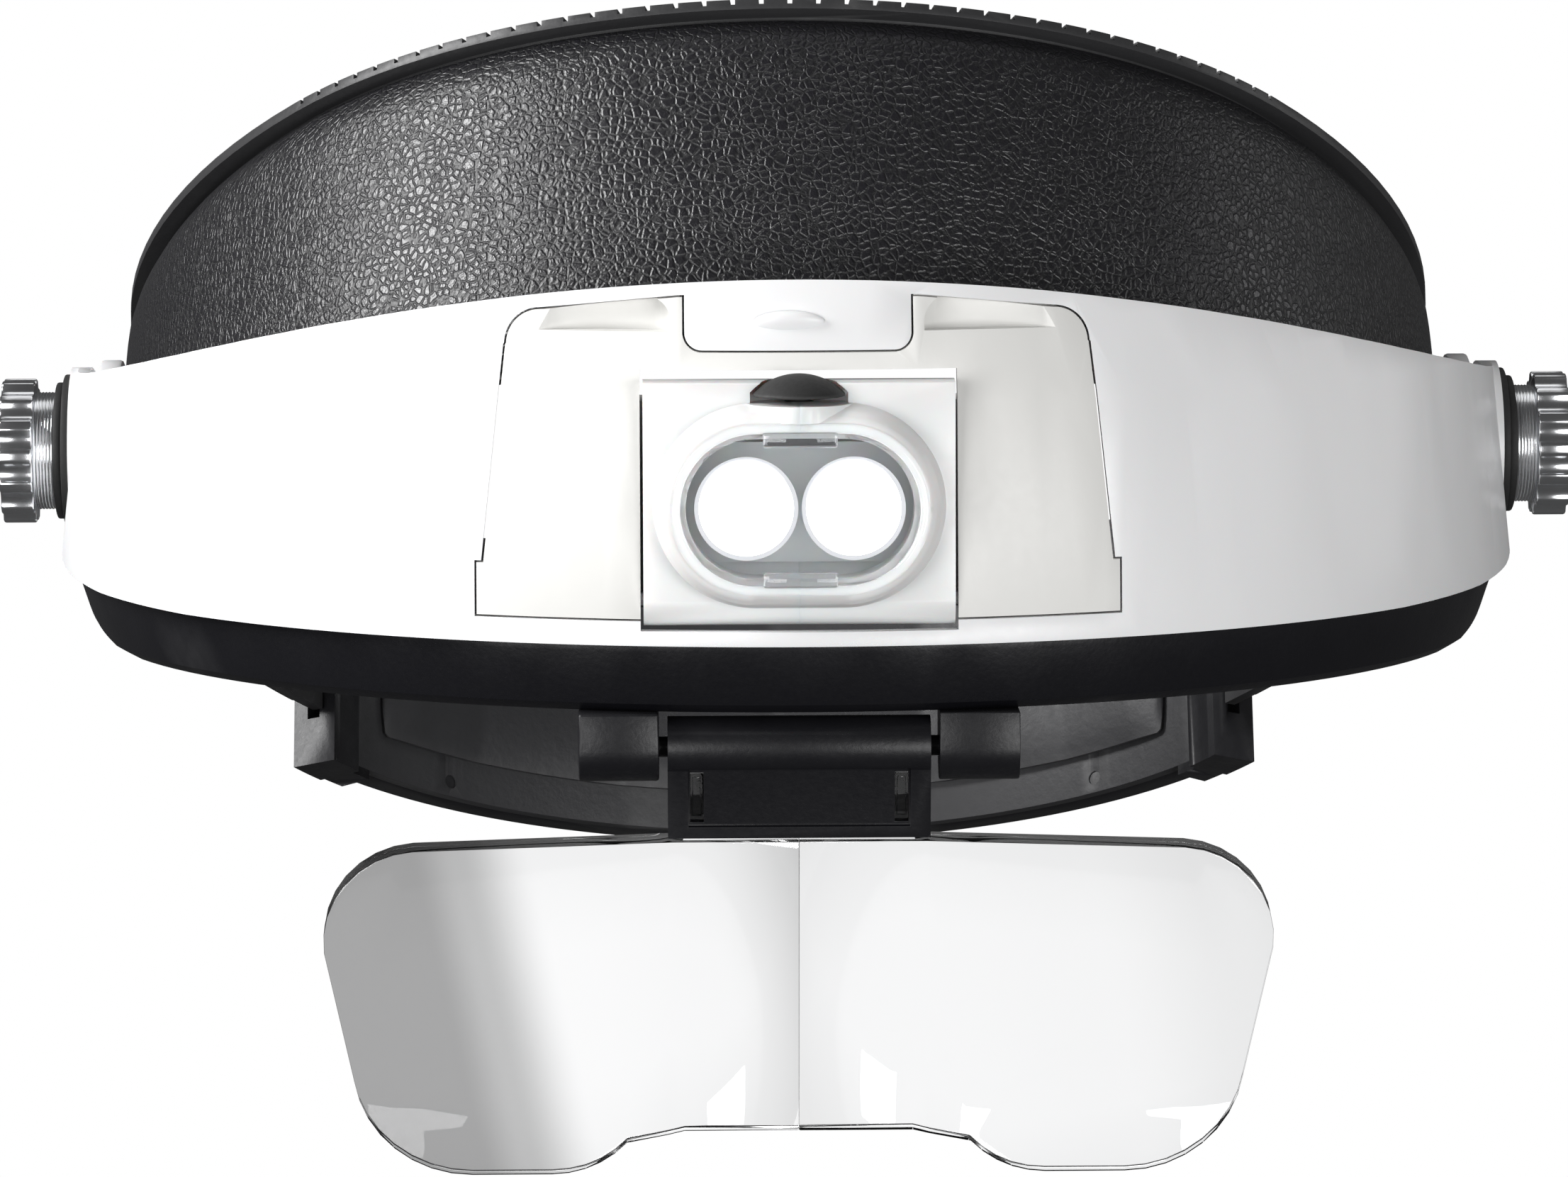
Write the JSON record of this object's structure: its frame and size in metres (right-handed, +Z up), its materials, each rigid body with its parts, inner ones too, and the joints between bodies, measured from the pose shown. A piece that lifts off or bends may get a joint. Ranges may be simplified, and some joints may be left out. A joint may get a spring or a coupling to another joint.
{
  "type": "head visor magnifier",
  "caption": "Padded head band with a tilting white visor, a lit lamp unit and a clear lens plate that flips up under it.",
  "frame": {"origin": "middle of the head opening, half way up the band", "axes": "+Z up as worn, -Y to the front, +X to the right as seen from the front"},
  "size_m": [0.1994, 0.2557, 0.141],
  "materials": {
    "black_plastic": "satin",
    "leatherette": "satin",
    "foam_black": "matte",
    "white_abs": "satin",
    "warm_white_abs": "satin",
    "clear_acrylic": "polished",
    "rubber_black": "matte",
    "steel": "polished",
    "nut_chrome": "polished",
    "reflector_silver": "polished",
    "led_yellow": "polished",
    "board_white": "satin",
    "cell_wrap": "satin"
  },
  "bodies": {
    "headband": {"band_frame": "black_plastic", "band_cover": "leatherette", "forehead_pad": "foam_black", "rear_cradle_outer": "black_plastic", "rear_cradle_inner": "black_plastic", "rear_pad": "foam_black", "cradle_clip_left": "black_plastic", "cradle_clip_right": "black_plastic", "cradle_screws": "steel", "pivot_bracket_left": "white_abs", "pivot_bracket_right": "white_abs", "pivot_bolt_left": "steel", "pivot_bolt_right": "steel", "inner_washers": "rubber_black", "outer_washers": "rubber_black"},
    "visor": {"visor_shell": "white_abs", "visor_skirt": "black_plastic", "skirt_screws": "steel", "lens_ear_left": "black_plastic", "lens_ear_right": "black_plastic", "lens_hinge_pin": "steel"},
    "light_unit": {"light_cover": "warm_white_abs", "battery_tray": "warm_white_abs", "battery_cells": "cell_wrap", "contact_springs": "steel", "contact_plates": "steel", "lamp_pivot_rod": "steel"},
    "lamp": {"lamp_half_left": "white_abs", "lamp_half_right": "white_abs", "lamp_window": "clear_acrylic", "reflector_left": "reflector_silver", "reflector_right": "reflector_silver", "led_left": "led_yellow", "led_right": "led_yellow", "led_board": "board_white", "power_switch": "black_plastic"},
    "button": {"power_button": "rubber_black"},
    "holder": {"lens_holder": "black_plastic"},
    "lens_plate": {"lens_left": "clear_acrylic", "lens_right": "clear_acrylic"},
    "nut_left": {"thumb_nut_left": "nut_chrome"},
    "nut_right": {"thumb_nut_right": "nut_chrome"},
    "size_wheel": {"size_pinion": "steel", "size_knob": "black_plastic"},
    "strap_left": {"size_strap_left": "black_plastic"},
    "strap_right": {"size_strap_right": "black_plastic"}
  },
  "joints": [
    {"name": "visor_tilt", "type": "hinge", "parent": "headband", "child": "visor", "pos_m": [0, -0.046, 0.002], "axis": [-1, 0, 0], "range_deg": [-6, 45]},
    {"name": "lens_flip", "type": "hinge", "parent": "visor", "child": "holder", "pos_m": [0, -0.12599, -0.03323], "axis": [-1, 0, 0], "range_deg": [0, 90]},
    {"name": "lens_pull", "type": "slide", "parent": "holder", "child": "lens_plate", "axis": [0, 0.2924, -0.9563], "range_m": [0, 0.0105]},
    {"name": "light_unit_pull", "type": "slide", "parent": "visor", "child": "light_unit", "axis": [0, -0.9954, -0.0958], "range_m": [0, 0.03]},
    {"name": "lamp_tip", "type": "hinge", "parent": "light_unit", "child": "lamp", "pos_m": [0, -0.1324, -0.01576], "axis": [1, 0, 0], "range_deg": [0, 20]},
    {"name": "power_press", "type": "slide", "parent": "lamp", "child": "button", "axis": [0, 0.0958, -0.9954], "range_m": [0, 0.0007], "stiffness_N_per_m": 400, "springref_m": -0.0005},
    {"name": "thumb_nut_left_turn", "type": "hinge", "parent": "headband", "child": "nut_left", "pos_m": [-0.095, -0.046, 0.002], "axis": [-1, 0, 0], "continuous": true},
    {"name": "thumb_nut_right_turn", "type": "hinge", "parent": "headband", "child": "nut_right", "pos_m": [0.095, -0.046, 0.002], "axis": [1, 0, 0], "continuous": true},
    {"name": "size_wheel_turn", "type": "hinge", "parent": "headband", "child": "size_wheel", "pos_m": [0, 0.10183, -0.03748], "axis": [0, 0.9336, -0.3584], "range_deg": [-140, 140]},
    {"name": "strap_left_draw", "type": "hinge", "parent": "headband", "child": "strap_left", "pos_m": [0, 0.02801, -0.01075], "axis": [0, 0.3584, 0.9336], "range_deg": [-6, 6]},
    {"name": "strap_right_draw", "type": "hinge", "parent": "headband", "child": "strap_right", "pos_m": [0, 0.02801, -0.01075], "axis": [0, 0.3584, 0.9336], "range_deg": [-6, 6]}
  ],
  "couplings": [
    {"joint": "strap_left_draw", "follows": "size_wheel_turn", "ratio": -0.040214},
    {"joint": "strap_right_draw", "follows": "size_wheel_turn", "ratio": 0.040214}
  ]
}
